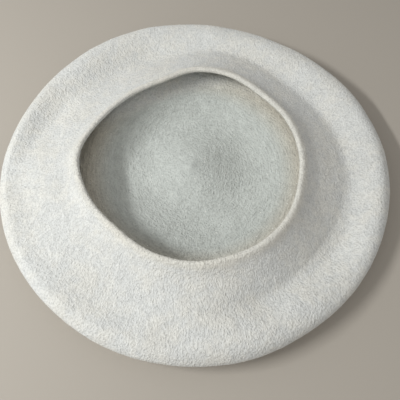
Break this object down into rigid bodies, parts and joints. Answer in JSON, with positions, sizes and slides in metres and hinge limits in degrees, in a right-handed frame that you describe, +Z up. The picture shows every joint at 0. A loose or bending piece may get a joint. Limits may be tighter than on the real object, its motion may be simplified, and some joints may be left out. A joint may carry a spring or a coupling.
{
  "type": "beret",
  "caption": "Plain cream felt beret lying on its crown, with a round fold, a soft upper ring and a raised collar round the open head hole.",
  "frame": {"origin": "middle of the hat's width and depth, on the surface that the crown rests on", "axes": "+Z up, out of the head opening; +X to the right and +Y away from the viewer, as in the picture"},
  "size_m": [0.2872, 0.2824, 0.0355],
  "materials": {
    "cream_felt": "matte brushed wool felt"
  },
  "bodies": {
    "root": {"felt_beret": "cream_felt"}
  },
  "joints": []
}
